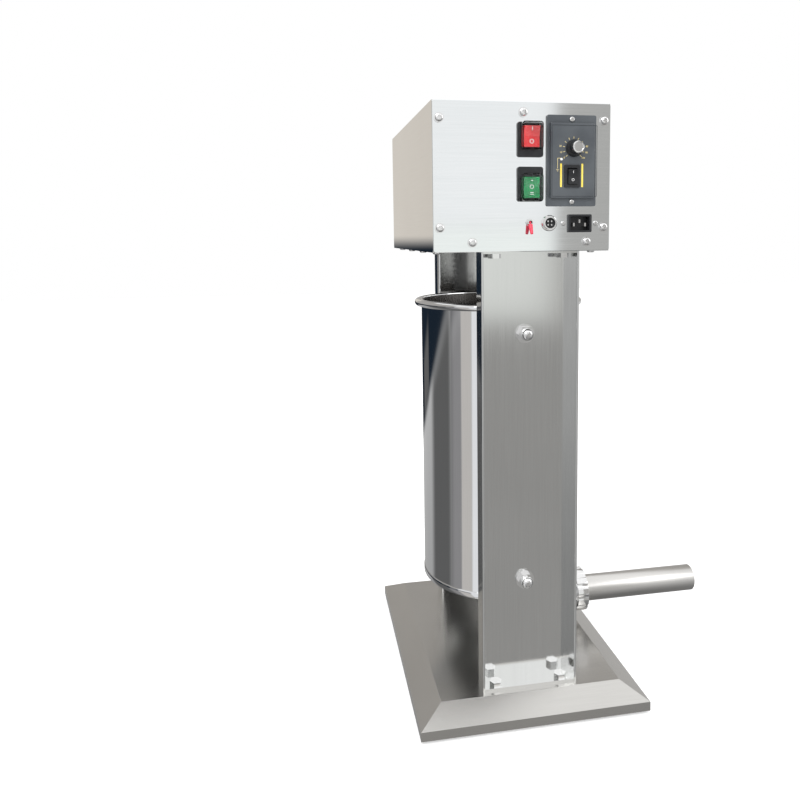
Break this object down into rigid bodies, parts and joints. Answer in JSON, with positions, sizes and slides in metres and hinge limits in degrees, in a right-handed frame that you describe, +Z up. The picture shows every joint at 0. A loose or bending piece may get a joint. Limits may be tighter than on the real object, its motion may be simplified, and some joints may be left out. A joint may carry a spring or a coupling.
{
  "type": "electric vertical sausage stuffer",
  "caption": "Upright meat stuffer: geared rack drives a piston down a barrel between two channel columns; outlet nozzle at the foot, controls on the gear housing.",
  "frame": {"origin": "on the table under the barrel's axis, midway between the two columns", "axes": "+X towards the nozzle, -Y towards the control panel, +Z up along the piston's travel"},
  "size_m": [0.454, 0.406, 0.765],
  "materials": {
    "stainless_brushed": "fine brushed stainless sheet",
    "stainless_polished": "polished stainless",
    "panel_satin": "satin stainless panel",
    "fastener_steel": "bright stainless fasteners",
    "gear_steel": "machined and oiled steel",
    "bronze": "bearing bronze",
    "motor_aluminium": "cast aluminium",
    "nylon_white": "food-grade nylon",
    "black_plastic": "black moulded plastic",
    "slate_plastic": "slate grey plastic",
    "red_lens": "red translucent rocker",
    "green_lens": "green translucent rocker",
    "clear_boot": "clear soft cover",
    "white_seal": "white silicone seal",
    "black_rubber": "black rubber",
    "red_sleeve": "red sleeve",
    "lamp_white": "small lamp lens"
  },
  "bodies": {
    "machine": {"base_pan": "stainless_brushed", "rubber_feet": "black_rubber", "column_front": "stainless_brushed", "column_rear": "stainless_brushed", "column_bolts": "fastener_steel", "column_nuts": "fastener_steel", "housing_floor": "stainless_brushed", "housing_cover": "stainless_brushed", "front_panel": "panel_satin", "rear_panel": "panel_satin", "panel_screws": "fastener_steel", "panel_washers": "fastener_steel", "floor_screws": "fastener_steel", "rack_guides": "nylon_white", "gearbox_plate_front": "gear_steel", "gearbox_plate_rear": "gear_steel", "gearbox_spacers": "gear_steel", "shaft_bushes": "bronze", "motor_body": "motor_aluminium", "gearhead": "motor_aluminium", "gearhead_screws": "fastener_steel", "run_capacitor": "black_plastic", "controller_case": "black_plastic", "controller_bezel": "slate_plastic", "power_lamp": "lamp_white", "small_screws": "fastener_steel", "switch_bodies": "black_plastic", "switch_boots": "clear_boot", "run_switch_body": "black_plastic", "socket_shell": "stainless_polished", "socket_insert": "black_plastic", "power_inlet": "black_plastic", "connector_pins": "fastener_steel", "toggle_bushing": "fastener_steel", "barrel": "stainless_polished", "barrel_bottom": "stainless_polished", "outlet_elbow": "stainless_polished", "barrel_bolts": "fastener_steel", "guide_pads": "nylon_white", "bolt_washers": "fastener_steel", "domed_nuts": "fastener_steel", "nozzle_gasket": "white_seal"},
    "piston": {"rack": "gear_steel", "piston_plates": "nylon_white", "piston_seal": "white_seal", "piston_nut": "fastener_steel", "air_valve": "fastener_steel"},
    "main_shaft": {"main_shaft": "gear_steel", "main_gear": "gear_steel", "rack_pinion": "gear_steel"},
    "motor_shaft": {"motor_shaft": "gear_steel", "motor_pinion": "gear_steel"},
    "speed_knob": {"speed_knob": "black_plastic"},
    "power_rocker": {"power_rocker": "red_lens"},
    "direction_rocker": {"direction_rocker": "green_lens"},
    "run_rocker": {"run_rocker": "black_plastic"},
    "toggle_lever": {"toggle_lever": "red_sleeve"},
    "nozzle": {"nozzle": "stainless_brushed"},
    "ring_nut": {"ring_nut": "stainless_polished"}
  },
  "joints": [
    {"name": "piston_slide", "type": "slide", "parent": "machine", "child": "piston", "axis": [0, 0, 1], "range_m": [0, 0.4]},
    {"name": "main_shaft_spin", "type": "hinge", "parent": "machine", "child": "main_shaft", "pos_m": [-0.03, 0, 0.70085], "axis": [0, 1, 0], "range_deg": [-1092.35, 0]},
    {"name": "motor_shaft_spin", "type": "hinge", "parent": "machine", "child": "motor_shaft", "pos_m": [-0.072, 0, 0.658], "axis": [0, 1, 0], "range_deg": [0, 3586.86]},
    {"name": "speed_knob_turn", "type": "hinge", "parent": "machine", "child": "speed_knob", "pos_m": [0.042, -0.195, 0.709], "axis": [0, 1, 0], "range_deg": [0, 280]},
    {"name": "power_rocker_tilt", "type": "hinge", "parent": "machine", "child": "power_rocker", "pos_m": [-0.009, -0.185, 0.723], "axis": [1, 0, 0], "range_deg": [-16, 0]},
    {"name": "direction_rocker_tilt", "type": "hinge", "parent": "machine", "child": "direction_rocker", "pos_m": [-0.009, -0.185, 0.664], "axis": [1, 0, 0], "range_deg": [-8, 8]},
    {"name": "run_rocker_tilt", "type": "hinge", "parent": "machine", "child": "run_rocker", "pos_m": [0.04, -0.191, 0.677], "axis": [1, 0, 0], "range_deg": [-16, 0]},
    {"name": "toggle_flip", "type": "hinge", "parent": "machine", "child": "toggle_lever", "pos_m": [-0.0095, -0.187, 0.624], "axis": [1, 0, 0], "range_deg": [-24, 0]},
    {"name": "nozzle_release", "type": "slide", "parent": "machine", "child": "nozzle", "axis": [1, 0, 0], "range_m": [0, 0.012]},
    {"name": "ring_nut_turn", "type": "hinge", "parent": "nozzle", "child": "ring_nut", "pos_m": [0.13, 0, 0.077], "axis": [1, 0, 0], "range_deg": [0, 1441]}
  ],
  "couplings": [
    {"joint": "main_shaft_spin", "follows": "piston_slide", "rad_per_m": -47.619},
    {"joint": "motor_shaft_spin", "follows": "piston_slide", "rad_per_m": 156.46},
    {"joint": "ring_nut_turn", "follows": "nozzle_release", "rad_per_m": 2094.4}
  ]
}
